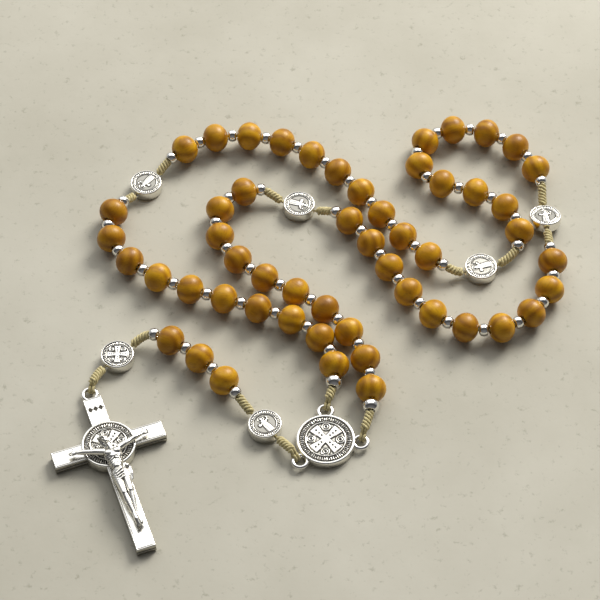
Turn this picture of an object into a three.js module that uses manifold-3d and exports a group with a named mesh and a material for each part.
// A five-decade rosary of wooden beads on a cord, lying on a table as it is put down. Millimetres, +Z up.
// The origin is the middle of the centrepiece's flat back, which lies on the table, so the table is z = 0.
// X runs to the right and Y away from the reader, who has the crucifix at the near left.
import * as THREE from 'three';
import { mergeVertices } from 'three/addons/utils/BufferGeometryUtils.js';
import Module from 'manifold-3d';

const wasm = await Module();
wasm.setup();

// ---- Driving dimensions ----

// Wooden prayer beads: oblate, with the bore along the short way.
const WOOD_DIAMETER = 8;
const WOOD_LENGTH = 6.8;
const WOOD_BORE = 2.4;

// Silver spacers between the wooden beads, and the larger pair beside the centrepiece.
const SPACER_DIAMETER = 3.5;
const SPACER_LENGTH = 2.3;
const END_SPACER_DIAMETER = 4.3;
const END_SPACER_LENGTH = 3.2;
const BEAD_SLACK = 0.32;

// Cord, and the barrel knots wound on it beside each medal and loop.
const CORD_DIAMETER = 0.9;
const CORD_STEP = 2.4;
const LONGEST_STEP = 1.2 * CORD_STEP;
const SMALLEST_STEP = 0.02;
const KNOT_DIAMETER = 2.5;
const KNOT_SHOULDER = 0.4;
const KNOT_SETBACK = 1;
const SHORTEST_KNOT = 1.5;

// Medal beads: thick coins drilled across, from rim to rim.
const MEDAL_DIAMETER = 8.8;
const MEDAL_THICKNESS = 3;
const MEDAL_BORE = 1.7;
const MEDAL_EDGE = 0.5;

// Centrepiece: a round medal with two loops above and one below.
const CENTREPIECE_DIAMETER = 15.2;
const CENTREPIECE_THICKNESS = 2.4;
const CENTREPIECE_TURN = -46.5;
const UPPER_LOOP_ANGLE = 46.5;
const FACE_RELIEF = 0.3;
const RIM_WIDTH = 0.9;

// Loops of the centrepiece and the crucifix, lying flat.
const LOOP_DIAMETER = 4.6;
const LOOP_HOLE = 2.6;
const LOOP_THICKNESS = 1.8;
const LOOP_SINK = 0.9;

// Crucifix, measured from the middle of its disc.
const CROSS_SPAN = 29.5;
const CROSS_ABOVE = 15.3;
const CROSS_BELOW = 32.3;
const BAR_WIDTH = 5;
const CROSS_THICKNESS = 2.8;
const CROSS_BEVEL = 0.3;
const DISC_DIAMETER = 14;
const DISC_PROUD = 0.4;
const CRUCIFIX_AT = [-55.4, -1.9];
const CRUCIFIX_TURN = 20;

// Figure on the crucifix.
const FIGURE_HEIGHT = 28.4;
const HAND_SPREAD = 19.6;
const LIMB_DIAMETER = 1.5;
const HEAD_DIAMETER = 3;
const HEAD_LEAN = 1;
const CHEST_WIDTH = 5;

// Gap kept between separate pieces, and how far each of two cords stops from where they meet.
const CLEARANCE = 0.3;
const MEETING_GAP = CLEARANCE * 0.75;

// Relief inside the centrepiece's rim, as shares of the face it leaves free.
const ARM_REACH = 0.74;
const ARM_WIDTH = 0.15;
const ROUNDEL_DIAMETER = 0.2;
const ROUNDEL_OFFSET = 0.19;

// Levels of the figure, as shares of its height counted down from the top of its head.
const LEVELS = {
  head: 0.07, hands: 0.11, elbows: 0.16, shoulders: 0.22, chest: 0.28, waist: 0.37, hips: 0.45, thighs: 0.48,
  knees: 0.68, ankles: 0.9, toes: 0.94,
};
const HEAD_ABOVE_DISC_MIDDLE = 2.4;

// How far each part of the figure lies from its middle line. The elbow's is a share of the hand spread,
// and the others are shares of the chest's width.
const ACROSS = { elbows: 0.3, shoulders: 0.3, thighs: 0.2, knees: 0.16, ankles: 0.07 };

// How far each part's middle stands out from the cross.
const FIGURE_AXIS_DEPTH = 1.4;
const HEAD_DEPTH = 1.8;
const ARM_DEPTH = 1.1;
const HAND_DEPTH = 0.75;
const KNEE_DEPTH = 1.9;
const FOOT_DEPTH = 1;

// Radii of the limbs, as shares of their thickest diameter.
const LIMB_RADII = { wrist: 0.3, middle: 0.45, thigh: 0.7, nape: 0.5, throat: 0.6 };

// The trunk's three rounded masses: the width as a share of the chest's, the length as a share of the
// figure's height, and the depth as a share of the chest's.
const TRUNK = { chest: [1, 0.2, 1], waist: [0.72, 0.16, 0.85], hips: [0.88, 0.17, 1] };

// Head, hands and feet: the head's length to its width, the hand's and feet's width and depth to a limb's,
// and the feet's length to the figure's height.
const HEAD_LENGTH = 1.24;
const HAND_WIDTH = 1.2;
const HAND_THICKNESS = 0.8;
const FEET_LENGTH = 0.12;

// Facets around and along each kind of piece.
const WOOD_SIDES = 10;
const WOOD_ROWS = 4;
const HOOK_STEPS = 6;
const ROUTE_DIVISIONS = 1200;
const SMALL_SIDES = 8;
const LIMB_SIDES = 6;
const MEDAL_SIDES = 16;
const LOOP_SIDES = 12;
const DISC_SIDES = 28;

// A short string's wooden beads all turn. On a longer one the first and the last are one with the cord.
const LOOSE_BEADS = 3;

const CORD_RADIUS = CORD_DIAMETER / 2;

// ---- Heights of the cord above the table ----

// Pieces on a sloping cord lean a little, so it runs this much higher than level ones would need.
const LEAN_ROOM = 0.1;
const BEAD_Z = WOOD_DIAMETER / 2;
const MEDAL_Z = MEDAL_THICKNESS / 2 + LEAN_ROOM;
const LOOP_Z = CENTREPIECE_THICKNESS / 2;
const KNOT_Z = LOOP_Z + LOOP_THICKNESS / 2 + CLEARANCE + CORD_RADIUS + LEAN_ROOM;
const SLOPE_Z = (BEAD_Z + MEDAL_Z) / 2;

// The second medal leans, because its cord comes down to it steeply.
const LEAN_HIGH_Z = 3.7;
const LEAN_MID_Z = 2.7;
const LEAN_LOW_Z = 1.7;

// ---- Routes of the cord ----
// Each list follows one stretch, from where it leaves a loop or a medal's rim to where it ends.
// The last three points of a stretch that ends in a medal go through that medal, from rim to rim.

const ROUTES = {
  decade_1: [
    [9.9, 2.4, KNOT_Z], [11.6, 8, BEAD_Z], [11.9, 13.5, BEAD_Z], [11, 23, BEAD_Z], [7, 31.8, BEAD_Z],
    [0.7, 39.7, BEAD_Z], [-7.4, 45.7, BEAD_Z], [-16, 50.6, BEAD_Z], [-23.6, 57, BEAD_Z],
    [-28.6, 64.8, BEAD_Z], [-29.6, 72.4, BEAD_Z], [-26.6, 78.6, BEAD_Z], [-21.4, 81.6, BEAD_Z],
    [-17, 81.8, BEAD_Z], [-14, 80.7, SLOPE_Z], [-11, 79.2, MEDAL_Z], [-6.8, 77.7, MEDAL_Z],
    [-2.7, 76.2, MEDAL_Z],
  ],
  decade_2: [
    [-2.7, 76.2, MEDAL_Z], [0.3, 75.1, SLOPE_Z], [3.4, 73.7, BEAD_Z], [7.2, 70.8, BEAD_Z],
    [12.8, 63, BEAD_Z], [17.6, 54.4, BEAD_Z], [22.7, 45.7, BEAD_Z], [29.4, 38, BEAD_Z],
    [38.6, 33.6, BEAD_Z], [48.2, 34.2, BEAD_Z], [56.3, 39.8, BEAD_Z], [61.2, 47.8, BEAD_Z],
    [62.3, 56.8, BEAD_Z], [61.8, 61.8, BEAD_Z], [61.5, 67.9, LEAN_HIGH_Z], [61.4, 72.3, LEAN_MID_Z],
    [61.3, 76.7, LEAN_LOW_Z],
  ],
  decade_3: [
    [61.3, 76.7, LEAN_LOW_Z], [61.2, 80, LEAN_MID_Z], [61.2, 83, BEAD_Z], [60.6, 88, BEAD_Z],
    [56.4, 96, BEAD_Z], [48.8, 102.2, BEAD_Z], [39.4, 104.6, BEAD_Z], [32, 102.6, BEAD_Z],
    [27.6, 97.8, BEAD_Z], [26.6, 91.8, BEAD_Z], [29, 86.6, BEAD_Z], [34, 83.6, BEAD_Z],
    [40.4, 81.8, BEAD_Z], [46.2, 79.2, BEAD_Z], [51.2, 74.8, BEAD_Z], [53.8, 69.2, BEAD_Z],
    [53.6, 63.2, BEAD_Z], [51.2, 59.4, SLOPE_Z], [46.9, 56.8, MEDAL_Z], [42.7, 55.6, MEDAL_Z],
    [38.5, 54.4, MEDAL_Z],
  ],
  decade_4: [
    [38.5, 54.4, MEDAL_Z], [35.4, 54.2, SLOPE_Z], [32.3, 55.2, BEAD_Z], [28.2, 58.2, BEAD_Z],
    [21.6, 65.2, BEAD_Z], [15.9, 73.2, BEAD_Z], [10.5, 81, BEAD_Z], [4.4, 88.1, BEAD_Z],
    [-2.8, 94.6, BEAD_Z], [-11.4, 99.5, BEAD_Z], [-20.9, 101.9, BEAD_Z], [-30.6, 101.4, BEAD_Z],
    [-39, 97.2, BEAD_Z], [-42.8, 93.9, BEAD_Z], [-45.2, 91.3, SLOPE_Z], [-47.2, 89, MEDAL_Z],
    [-49.9, 85.5, MEDAL_Z], [-52.6, 82, MEDAL_Z],
  ],
  decade_5: [
    [-52.6, 82, MEDAL_Z], [-54.6, 79.4, SLOPE_Z], [-57, 76.4, BEAD_Z], [-59.4, 70.6, BEAD_Z],
    [-58.2, 63.4, BEAD_Z], [-53, 56.4, BEAD_Z], [-45, 50.8, BEAD_Z], [-35.6, 46.6, BEAD_Z],
    [-26.2, 43.4, BEAD_Z], [-17.2, 40.2, BEAD_Z], [-8.8, 36.8, BEAD_Z], [-1.6, 31.4, BEAD_Z],
    [2.2, 24, BEAD_Z], [2.5, 17.9, BEAD_Z], [0.8, 11.8, KNOT_Z],
  ],
  pendant_upper: [
    [-8.4, -4, KNOT_Z], [-10.5, -1.6, 2.4], [-12.7, 1, MEDAL_Z], [-15.6, 4.3, MEDAL_Z],
    [-18.5, 7.6, MEDAL_Z],
  ],
  pendant_beads: [
    [-18.5, 7.6, MEDAL_Z], [-21, 10.4, SLOPE_Z], [-23.4, 13.3, BEAD_Z], [-26.8, 17.6, BEAD_Z],
    [-33.5, 24.7, BEAD_Z], [-41.2, 30.2, BEAD_Z], [-45.8, 31.9, BEAD_Z], [-48.8, 31.4, SLOPE_Z],
    [-51.6, 29.4, MEDAL_Z], [-54.7, 26.2, MEDAL_Z], [-57.8, 23, MEDAL_Z],
  ],
  pendant_lower: [
    [-57.8, 23, MEDAL_Z], [-59.2, 20.9, 2.1], [-60.2, 18.7, 2.7], [-60.7, 17, KNOT_Z],
  ],
};

// Where each stretch begins and ends. A medal belongs to the stretch that ends in it.
const STRETCHES = [
  { name: 'decade_1', from: 'loop', to: 'medal_1', beads: 10, firstSpacer: 'large', lastSpacer: 'small' },
  { name: 'decade_2', from: 'medal', to: 'medal_2', beads: 10, firstSpacer: 'small', lastSpacer: 'small' },
  { name: 'decade_3', from: 'medal', to: 'medal_3', beads: 10, firstSpacer: 'small', lastSpacer: 'small' },
  { name: 'decade_4', from: 'medal', to: 'medal_4', beads: 10, firstSpacer: 'small', lastSpacer: 'small' },
  { name: 'decade_5', from: 'medal', to: 'loop', beads: 10, firstSpacer: 'small', lastSpacer: 'large' },
  { name: 'pendant_upper', from: 'loop', to: 'medal_5', beads: 0 },
  {
    name: 'pendant_beads', from: 'medal', to: 'medal_6', beads: 3, firstSpacer: 'small', lastSpacer: 'small',
  },
  { name: 'pendant_lower', from: 'medal', to: 'loop', beads: 0 },
];

// ---- Materials ----

const wood = new THREE.MeshStandardMaterial({ color: 0xb0742a, roughness: 0.45, metalness: 0 });
const silver = new THREE.MeshStandardMaterial({ color: 0xc9c7c2, roughness: 0.25, metalness: 1 });
const cordage = new THREE.MeshStandardMaterial({ color: 0xc9b98a, roughness: 0.85, metalness: 0 });

// ---- Solids ----

// A three.js geometry as a Manifold, which needs shared vertices and no other attribute.
function solid(geometry) {
  const bare = geometry.index ? geometry.toNonIndexed() : geometry.clone();
  bare.deleteAttribute('normal');
  bare.deleteAttribute('uv');
  const merged = mergeVertices(bare, 1e-4);
  return new wasm.Manifold(new wasm.Mesh({
    numProp: 3,
    vertProperties: Float32Array.from(merged.attributes.position.array),
    triVerts: Uint32Array.from(merged.index.array),
  }));
}

function joined(solids) {
  return solids.reduce((whole, next) => whole.add(next));
}

function geometryOf(manifold) {
  const { vertProperties, triVerts } = manifold.getMesh();
  const geometry = new THREE.BufferGeometry();
  geometry.setAttribute('position', new THREE.BufferAttribute(vertProperties, 3));
  geometry.setIndex(new THREE.BufferAttribute(triVerts, 1));
  geometry.computeVertexNormals();
  return geometry;
}

function namedMesh(name, geometry, material) {
  const mesh = new THREE.Mesh(geometry, material);
  mesh.name = name;
  return mesh;
}

// A profile of [radius, height] pairs turned about Y.
function lathe(profile, sides) {
  return new THREE.LatheGeometry(profile.map(([radius, height]) => new THREE.Vector2(radius, height)), sides);
}

// The same profile with its heights running along X, and below along Z.
function latheAlongX(profile, sides) {
  return lathe(profile, sides).rotateZ(-Math.PI / 2);
}

function latheAlongZ(profile, sides) {
  return lathe(profile, sides).rotateX(Math.PI / 2);
}

// A wooden bead's outline from mouth to mouth: an ellipse cut off at the bore.
function woodProfile() {
  const cut = Math.acos(WOOD_BORE / WOOD_DIAMETER);
  const profile = [];
  for (let i = 0; i <= WOOD_ROWS; i++) {
    const angle = cut * (2 * i / WOOD_ROWS - 1);
    const along = WOOD_LENGTH / 2 * Math.sin(angle) / Math.sin(cut);
    profile.push([WOOD_DIAMETER / 2 * Math.cos(angle), along]);
  }
  return profile;
}

function coinProfile(diameter, thickness, edge) {
  const r = diameter / 2;
  const h = thickness / 2;
  return [[0, -h], [r - edge, -h], [r, edge - h], [r, h - edge], [r - edge, h], [0, h]];
}

// A ring of square section.
function ringProfile(outer, inner, thickness) {
  const h = thickness / 2;
  const [o, i] = [outer / 2, inner / 2];
  return [[i, -h], [o, -h], [o, h], [i, h], [i, -h]];
}

// A disc standing on z = 0, with a raised rim round its upper face.
function dish(diameter, thickness) {
  const r = diameter / 2;
  const floor = thickness - FACE_RELIEF;
  const inner = r - RIM_WIDTH;
  const profile = [[0, 0], [r, 0], [r, thickness], [inner, thickness], [inner, floor], [0, floor]];
  return solid(latheAlongZ(profile, DISC_SIDES));
}

// A place on the cord: X along it, and Z as near upright as that allows.
function cordFrame(centre, along) {
  const x = along.clone().normalize();
  const y = new THREE.Vector3(0, 0, 1).cross(x).normalize();
  const z = x.clone().cross(y);
  return new THREE.Matrix4().makeBasis(x, y, z).setPosition(centre);
}

// ---- Cord stretches ----

// The line a stretch follows, walked by length.
class Route {
  constructor(points) {
    this.line = new THREE.CatmullRomCurve3(points.map((p) => new THREE.Vector3(...p)), false, 'centripetal');
    this.line.arcLengthDivisions = ROUTE_DIVISIONS;
    this.whole = this.line.getLength();
  }

  at(s) {
    return this.line.getPointAt(THREE.MathUtils.clamp(s / this.whole, 0, 1));
  }

  // The frame of a piece of this length whose middle is at s, centred between the cord's arc and its chord.
  frame(s, length) {
    const a = this.at(s - length / 2);
    const b = this.at(s + length / 2);
    const centre = a.clone().add(b).multiplyScalar(0.25).addScaledVector(this.at(s), 0.5);
    return cordFrame(centre, b.sub(a));
  }
}

// Walks a route from one station to the next, so that a sweep has a section at each.
class Stations extends THREE.Curve {
  constructor(route, places) {
    super();
    this.route = route;
    this.places = places;
  }

  getPoint(t, target = new THREE.Vector3()) {
    const x = t * (this.places.length - 1);
    const i = Math.min(Math.floor(x), this.places.length - 2);
    return target.copy(this.route.at(THREE.MathUtils.lerp(this.places[i], this.places[i + 1], x - i)));
  }

  getUtoTmapping(u) {
    return u;
  }
}

// A bare cord along a curve.
function sweep(path, steps) {
  const corners = [];
  for (let i = 0; i < SMALL_SIDES; i++) {
    const angle = i * 2 * Math.PI / SMALL_SIDES;
    corners.push(new THREE.Vector2(Math.cos(angle), Math.sin(angle)).multiplyScalar(CORD_RADIUS));
  }
  const section = new THREE.Shape(corners);
  return new THREE.ExtrudeGeometry(section, { steps, extrudePath: path, bevelEnabled: false });
}

// A cord swept through its stations, each [place along the route, radius], swollen to its radius at each.
function swollenCord(route, stations) {
  const path = new Stations(route, stations.map(([place]) => place));
  const geometry = sweep(path, stations.length - 1);
  const middles = stations.map(([place]) => route.at(place));
  const corner = new THREE.Vector3();
  const positions = geometry.attributes.position;
  for (let i = 0; i < positions.count; i++) {
    corner.fromBufferAttribute(positions, i);
    const offs = middles.map((middle) => Math.abs(middle.distanceTo(corner) - CORD_RADIUS));
    const nearest = offs.indexOf(Math.min(...offs));
    corner.sub(middles[nearest]).multiplyScalar(stations[nearest][1] / CORD_RADIUS).add(middles[nearest]);
    positions.setXYZ(i, corner.x, corner.y, corner.z);
  }
  return solid(geometry);
}

// Stations along bare cord, so that it bends smoothly between the pieces on it.
function withBareStations(stations) {
  const all = [stations[0]];
  for (const next of stations.slice(1)) {
    const [place] = all[all.length - 1];
    const steps = Math.ceil((next[0] - place + CORD_STEP - LONGEST_STEP) / CORD_STEP);
    for (let i = 1; i < steps; i++) {
      all.push([place + (next[0] - place) * i / steps, CORD_RADIUS]);
    }
    all.push(next);
  }
  return all;
}

// The end of a cord that comes over a loop's rim and down into its hole.
function hook(loop, knotEnd) {
  const inside = new THREE.Vector3(loop.x, loop.y, LOOP_Z + CLEARANCE);
  const above = new THREE.Vector3(loop.x, loop.y, knotEnd.z + CORD_DIAMETER);
  return solid(sweep(new THREE.QuadraticBezierCurve3(inside, above, knotEnd), HOOK_STEPS));
}

// A piece's outline as stations along the cord that runs through it.
function stationsOf(middle, length, profile) {
  return [
    [middle - length / 2, CORD_RADIUS],
    ...profile.map(([radius, along]) => [middle + along, radius]),
    [middle + length / 2, CORD_RADIUS],
  ];
}

function knotProfile(length) {
  const shoulder = length / 2 - KNOT_SHOULDER;
  return [[KNOT_DIAMETER / 2, -shoulder], [KNOT_DIAMETER / 2, shoulder]];
}

function spacerProfile(size) {
  const large = size === 'large';
  const radius = (large ? END_SPACER_DIAMETER : SPACER_DIAMETER) / 2;
  const shoulder = (large ? END_SPACER_LENGTH : SPACER_LENGTH) / 4;
  return [[radius, -shoulder], [radius, shoulder]];
}

// The pieces strung on a stretch, in order, with their lengths.
function stringOf({ beads, firstSpacer, lastSpacer }, count) {
  const spacer = (size) => ({ kind: size, length: size === 'large' ? END_SPACER_LENGTH : SPACER_LENGTH });
  const pieces = beads ? [spacer(firstSpacer)] : [];
  for (let i = 1; i <= count; i++) {
    pieces.push({ kind: 'wood', length: WOOD_LENGTH, number: i });
    pieces.push(spacer(i === count ? lastSpacer : 'small'));
  }
  return pieces;
}

function stringLength(pieces) {
  return pieces.reduce((sum, piece) => sum + piece.length, 0) + BEAD_SLACK * Math.max(0, pieces.length - 1);
}

// The beads that a stretch has room for, and the length left for each of its knots.
function strung(stretch, room) {
  for (let count = stretch.beads; ; count--) {
    const pieces = stringOf(stretch, count);
    const knots = pieces.length ? 2 : 1;
    const knot = (room - stringLength(pieces)) / knots;
    if (knot >= SHORTEST_KNOT || count <= 0) {
      return { pieces, knot, knots };
    }
  }
}

// Two stations at one place would fold the sweep onto itself, so each keeps a step from the one before.
function isApart([place], i, stations) {
  return i === 0 || place - stations[i - 1][0] > SMALLEST_STEP;
}

// Lays one stretch: its cord with the knots, spacers and end beads on it, the beads that turn, and its medal.
function layStretch(stretch, loop) {
  const points = ROUTES[stretch.name];
  const route = new Route(points);
  const before = stretch.from === 'loop' ? 0 : KNOT_SETBACK;
  const after = stretch.to === 'loop' ? 0 : KNOT_SETBACK + MEDAL_DIAMETER;
  const { pieces, knot, knots } = strung(stretch, route.whole - before - after);

  const start = stretch.from === 'loop' ? 0 : MEETING_GAP;
  const end = route.whole - (stretch.to === 'loop' ? 0 : MEETING_GAP);
  const stations = [[start, CORD_RADIUS]];
  const turning = [];
  const knotAt = (middle) => stations.push(...stationsOf(middle, knot, knotProfile(knot)));

  knotAt(before + knot / 2);
  let place = before + knot;
  for (const piece of pieces) {
    const middle = place + piece.length / 2;
    const isEnd = piece.number === 1 || piece.number === stretch.beads;
    if (piece.kind !== 'wood') {
      stations.push(...stationsOf(middle, piece.length, spacerProfile(piece.kind)));
    } else if (isEnd && stretch.beads > LOOSE_BEADS) {
      stations.push(...stationsOf(middle, piece.length, woodProfile()));
    } else {
      const bead = namedMesh(`${stretch.name}_bead_${String(piece.number).padStart(2, '0')}`, woodBead, wood);
      bead.applyMatrix4(route.frame(middle, piece.length));
      turning.push(bead);
    }
    place += piece.length + BEAD_SLACK;
  }
  if (knots === 2) {
    knotAt(route.whole - after - knot / 2);
  }
  stations.push([end, CORD_RADIUS]);

  const fixed = [swollenCord(route, withBareStations(stations.filter(isApart)))];
  if (loop) {
    fixed.push(hook(loop, route.at(stretch.from === 'loop' ? 0 : route.whole)));
  }
  const nodes = [namedMesh(`${stretch.name}_cord`, geometryOf(joined(fixed)), cordage), ...turning];
  if (stretch.to !== 'loop') {
    const medal = namedMesh(stretch.to, medalGeometry, silver);
    medal.applyMatrix4(route.frame(route.whole - MEDAL_DIAMETER / 2, MEDAL_DIAMETER));
    nodes.push(medal);
  }
  return nodes;
}

// ---- Metal pieces ----

// A coin lying flat, drilled along X through the middle of its thickness.
function medalBead() {
  const coin = solid(latheAlongZ(coinProfile(MEDAL_DIAMETER, MEDAL_THICKNESS, MEDAL_EDGE), MEDAL_SIDES));
  const drill = coinProfile(MEDAL_BORE, MEDAL_DIAMETER + 2 * CLEARANCE, 0);
  return geometryOf(coin.subtract(solid(latheAlongX(drill, SMALL_SIDES))));
}

function flatLoop(x, y, z) {
  const ring = latheAlongZ(ringProfile(LOOP_DIAMETER, LOOP_HOLE, LOOP_THICKNESS), LOOP_SIDES);
  return solid(ring.translate(x, y, z));
}

function bar(width, height, depth, x, y, z) {
  return solid(new THREE.BoxGeometry(width, height, depth).translate(x, y, z));
}

const loopRadius = CENTREPIECE_DIAMETER / 2 + LOOP_DIAMETER / 2 - LOOP_SINK;

// A loop's middle in the centrepiece's own frame, its angle counted from straight up.
function loopPlace(angle) {
  const a = THREE.MathUtils.degToRad(90 + angle);
  return new THREE.Vector3(loopRadius * Math.cos(a), loopRadius * Math.sin(a), LOOP_Z);
}

// A cross with four roundels between its arms, inside a raised rim.
function centrepieceGeometry() {
  const inside = CENTREPIECE_DIAMETER - 2 * RIM_WIDTH;
  const parts = [dish(CENTREPIECE_DIAMETER, CENTREPIECE_THICKNESS)];
  const armLength = inside * ARM_REACH;
  const armWidth = inside * ARM_WIDTH;
  const offset = inside * ROUNDEL_OFFSET;
  const reliefZ = CENTREPIECE_THICKNESS - FACE_RELIEF;
  parts.push(bar(armWidth, armLength, FACE_RELIEF * 2, 0, 0, reliefZ));
  parts.push(bar(armLength, armWidth, FACE_RELIEF * 2, 0, 0, reliefZ));
  for (const [x, y] of [[1, 1], [1, -1], [-1, -1], [-1, 1]]) {
    const roundel = latheAlongZ(coinProfile(inside * ROUNDEL_DIAMETER, FACE_RELIEF * 2, 0), SMALL_SIDES);
    parts.push(solid(roundel.translate(x * offset, y * offset, reliefZ)));
  }
  for (const angle of [UPPER_LOOP_ANGLE, -UPPER_LOOP_ANGLE, 180]) {
    const place = loopPlace(angle);
    parts.push(flatLoop(place.x, place.y, place.z));
  }
  return geometryOf(joined(parts));
}

const crucifixLoopY = CROSS_ABOVE + LOOP_DIAMETER / 2 - LOOP_SINK / 2;

function crossOutline() {
  const half = BAR_WIDTH / 2 - CROSS_BEVEL;
  const side = CROSS_SPAN / 2 - CROSS_BEVEL;
  const top = CROSS_ABOVE - CROSS_BEVEL;
  const foot = -CROSS_BELOW + CROSS_BEVEL;
  return new THREE.Shape([
    [-half, foot], [half, foot], [half, -half], [side, -half], [side, half], [half, half],
    [half, top], [-half, top], [-half, half], [-side, half], [-side, -half], [-half, -half],
  ].map(([x, y]) => new THREE.Vector2(x, y)));
}

// A flat Latin cross with a round medallion on its crossing and a loop at its head.
function crossGeometry() {
  const plate = new THREE.ExtrudeGeometry(crossOutline(), {
    depth: CROSS_THICKNESS - 2 * CROSS_BEVEL,
    bevelSize: CROSS_BEVEL,
    bevelThickness: CROSS_BEVEL,
    bevelSegments: 1,
  }).translate(0, 0, CROSS_BEVEL);
  return geometryOf(joined([
    solid(plate),
    dish(DISC_DIAMETER, CROSS_THICKNESS + DISC_PROUD),
    flatLoop(0, crucifixLoopY, CROSS_THICKNESS / 2),
  ]));
}

function ball([x, y, z], [width, length, depth]) {
  const sphere = new THREE.SphereGeometry(0.5, LIMB_SIDES + 2, LIMB_SIDES).rotateX(Math.PI / 2);
  return solid(sphere.scale(width, length, depth).translate(x, y, z));
}

// A straight limb from one point to another, tapering.
function limb(from, to, startRadius, endRadius) {
  const a = new THREE.Vector3(...from);
  const b = new THREE.Vector3(...to);
  const length = a.distanceTo(b);
  const profile = [[0, -length / 2], [startRadius, -length / 2], [endRadius, length / 2], [0, length / 2]];
  const frame = cordFrame(a.clone().add(b).multiplyScalar(0.5), b.sub(a));
  return solid(latheAlongX(profile, LIMB_SIDES).applyMatrix4(frame));
}

// A place on the figure: across from its middle line, down to a level, and out from the cross.
function onFigure(across, level, depth) {
  const back = CROSS_THICKNESS + DISC_PROUD + CLEARANCE;
  return [across, HEAD_ABOVE_DISC_MIDDLE - FIGURE_HEIGHT * LEVELS[level], back + depth];
}

// An arm and a leg, the knees bent forward.
function figureSide(side) {
  const wrist = LIMB_DIAMETER * LIMB_RADII.wrist;
  const middle = LIMB_DIAMETER * LIMB_RADII.middle;
  const thigh = LIMB_DIAMETER * LIMB_RADII.thigh;
  const fromMiddle = (level) => side * CHEST_WIDTH * ACROSS[level];
  const shoulder = onFigure(fromMiddle('shoulders'), 'shoulders', FIGURE_AXIS_DEPTH);
  const elbow = onFigure(side * HAND_SPREAD * ACROSS.elbows, 'elbows', ARM_DEPTH);
  const hand = onFigure(side * HAND_SPREAD / 2, 'hands', HAND_DEPTH);
  const hip = onFigure(fromMiddle('thighs'), 'thighs', FIGURE_AXIS_DEPTH);
  const knee = onFigure(fromMiddle('knees'), 'knees', KNEE_DEPTH);
  const ankle = onFigure(fromMiddle('ankles'), 'ankles', FOOT_DEPTH);
  const joint = [LIMB_DIAMETER, LIMB_DIAMETER, LIMB_DIAMETER];
  return [
    limb(shoulder, elbow, middle, middle),
    ball(elbow, joint),
    limb(elbow, hand, middle, wrist),
    ball(hand, [LIMB_DIAMETER * HAND_WIDTH, LIMB_DIAMETER * HAND_THICKNESS, LIMB_DIAMETER * HAND_THICKNESS]),
    limb(hip, knee, thigh, middle),
    ball(knee, joint),
    limb(knee, ankle, middle, wrist),
  ];
}

// One of the trunk's rounded masses.
function mass(level) {
  const [width, length, depth] = TRUNK[level];
  return ball(onFigure(0, level, FIGURE_AXIS_DEPTH), [
    CHEST_WIDTH * width, FIGURE_HEIGHT * length, 2 * FIGURE_AXIS_DEPTH * depth,
  ]);
}

// The figure hangs by its hands in front of the cross, its head leaning to one side and its feet together.
function figureGeometry() {
  const head = onFigure(-HEAD_LEAN, 'head', HEAD_DEPTH);
  const neck = onFigure(0, 'chest', FIGURE_AXIS_DEPTH);
  const feet = onFigure(0, 'toes', FOOT_DEPTH);
  return geometryOf(joined([
    ball(head, [HEAD_DIAMETER, HEAD_DIAMETER * HEAD_LENGTH, HEAD_DIAMETER]),
    limb(head, neck, LIMB_DIAMETER * LIMB_RADII.nape, LIMB_DIAMETER * LIMB_RADII.throat),
    mass('chest'),
    mass('waist'),
    mass('hips'),
    ball(feet, [LIMB_DIAMETER * HAND_WIDTH, FIGURE_HEIGHT * FEET_LENGTH, LIMB_DIAMETER]),
    ...figureSide(-1),
    ...figureSide(1),
  ]));
}

// ---- Assembly ----

const woodBead = latheAlongX([...woodProfile(), woodProfile()[0]], WOOD_SIDES);
const medalGeometry = medalBead();

const rosary = new THREE.Group();

const centrepiece = new THREE.Group();
centrepiece.rotation.z = THREE.MathUtils.degToRad(CENTREPIECE_TURN);
centrepiece.add(namedMesh('centrepiece', centrepieceGeometry(), silver));

const crucifix = new THREE.Group();
crucifix.position.set(...CRUCIFIX_AT, 0);
crucifix.rotation.z = THREE.MathUtils.degToRad(CRUCIFIX_TURN);
crucifix.add(namedMesh('cross', crossGeometry(), silver), namedMesh('figure', figureGeometry(), silver));

rosary.add(centrepiece, crucifix);
rosary.updateMatrixWorld(true);

// The loop that each stretch hooks into. The last decade stops short of its loop, which keeps the ring of
// strands an open chain there.
const loops = {
  decade_1: centrepiece.localToWorld(loopPlace(-UPPER_LOOP_ANGLE)),
  pendant_upper: centrepiece.localToWorld(loopPlace(180)),
  pendant_lower: crucifix.localToWorld(new THREE.Vector3(0, crucifixLoopY, CROSS_THICKNESS / 2)),
};
for (const stretch of STRETCHES) {
  rosary.add(...layStretch(stretch, loops[stretch.name]));
}

export default rosary;
